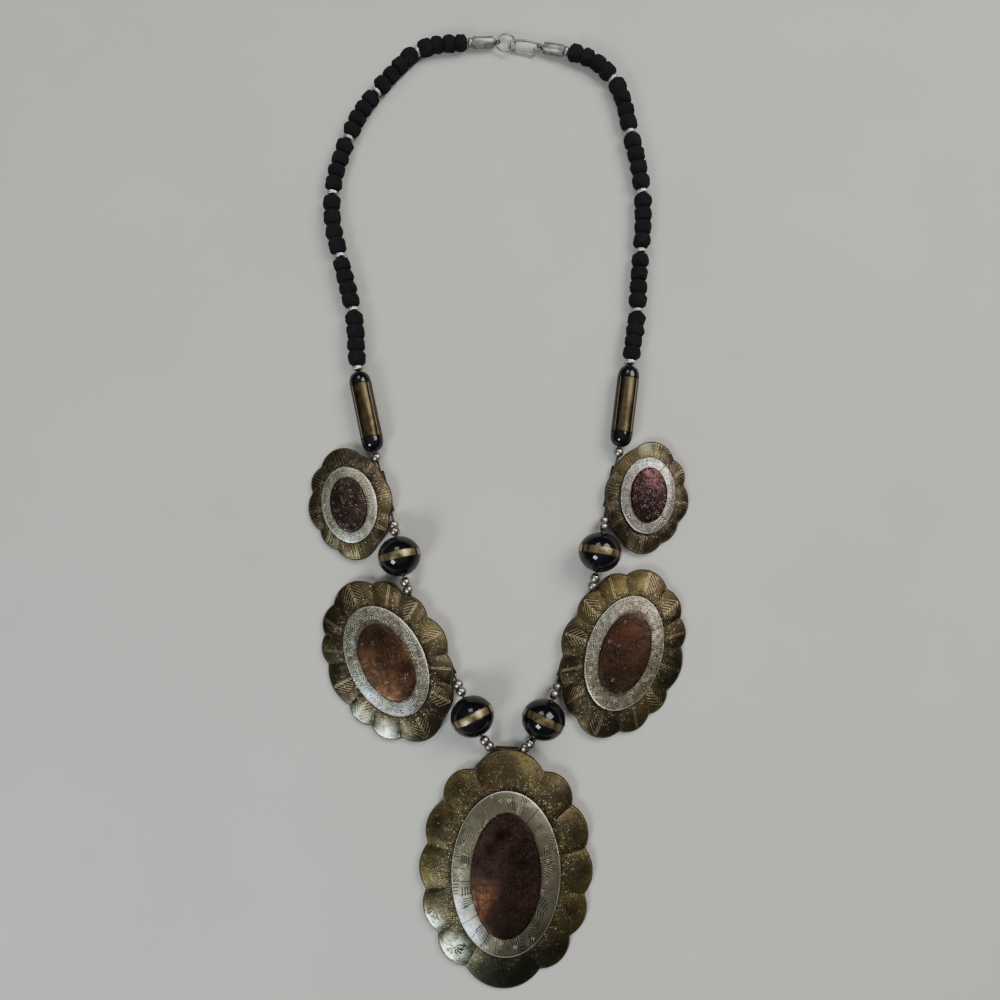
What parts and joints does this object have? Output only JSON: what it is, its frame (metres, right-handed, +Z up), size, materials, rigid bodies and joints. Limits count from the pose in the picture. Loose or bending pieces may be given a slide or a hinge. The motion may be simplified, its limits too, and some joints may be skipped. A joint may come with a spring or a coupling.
{
  "type": "bib necklace",
  "caption": "Beaded bib necklace: scalloped brass plaques with silver and copper ovals, black round and tube beads, rough black bead strands, hook and ring clasp.",
  "frame": {"origin": "centre of the underside, on the surface that the necklace lies on", "axes": "+Z up off the surface, +Y towards the clasp at the back of the neck, +X to the viewer's right"},
  "size_m": [0.1088, 0.2768, 0.0118],
  "materials": {
    "antique_brass": "antiqued brass sheet, dark in the hollows, rubbed bright on the edges",
    "polished_brass": "polished brass",
    "aged_silver": "oxidised silver sheet with cut hatching",
    "bright_silver": "bright silver, polished",
    "aged_copper": "darkened copper, mottled brown",
    "nickel": "satin nickel, a little dulled",
    "rough_black": "matt black, porous",
    "gloss_black": "gloss black, polished",
    "thread": "black twisted thread"
  },
  "bodies": {
    "root": {"left_ferrule": "nickel", "left_bead_strand": "rough_black", "left_tube_bead": "gloss_black", "left_tube_sleeve": "polished_brass", "left_end_ball": "bright_silver", "left_spacer_1": "bright_silver", "left_spacer_2": "bright_silver", "left_spacer_3": "bright_silver", "left_spacer_4": "bright_silver", "left_spacer_5": "bright_silver", "left_spacer_6": "bright_silver", "left_spacer_7": "bright_silver", "left_ball_pair_1": "bright_silver", "left_ball_pair_2": "bright_silver", "left_ball_pair_3": "bright_silver", "left_ball_pair_4": "bright_silver", "left_upper_round_bead": "gloss_black", "left_lower_round_bead": "gloss_black", "left_upper_band": "polished_brass", "left_lower_band": "polished_brass", "right_ferrule": "nickel", "right_bead_strand": "rough_black", "right_tube_bead": "gloss_black", "right_tube_sleeve": "polished_brass", "right_end_ball": "bright_silver", "right_spacer_1": "bright_silver", "right_spacer_2": "bright_silver", "right_spacer_3": "bright_silver", "right_spacer_4": "bright_silver", "right_spacer_5": "bright_silver", "right_spacer_6": "bright_silver", "right_ball_pair_1": "bright_silver", "right_ball_pair_2": "bright_silver", "right_ball_pair_3": "bright_silver", "right_ball_pair_4": "bright_silver", "right_upper_round_bead": "gloss_black", "right_lower_round_bead": "gloss_black", "right_upper_band": "polished_brass", "right_lower_band": "polished_brass", "clasp_ring": "nickel", "clasp_hook": "nickel", "small_left_plate": "antique_brass", "small_left_silver_oval": "aged_silver", "small_left_copper_oval": "aged_copper", "mid_left_plate": "antique_brass", "mid_left_silver_oval": "aged_silver", "mid_left_copper_oval": "aged_copper", "centre_plate": "antique_brass", "centre_silver_oval": "aged_silver", "centre_copper_oval": "aged_copper", "mid_right_plate": "antique_brass", "mid_right_silver_oval": "aged_silver", "mid_right_copper_oval": "aged_copper", "small_right_plate": "antique_brass", "small_right_silver_oval": "aged_silver", "small_right_copper_oval": "aged_copper", "lower_thread": "thread"}
  },
  "joints": []
}
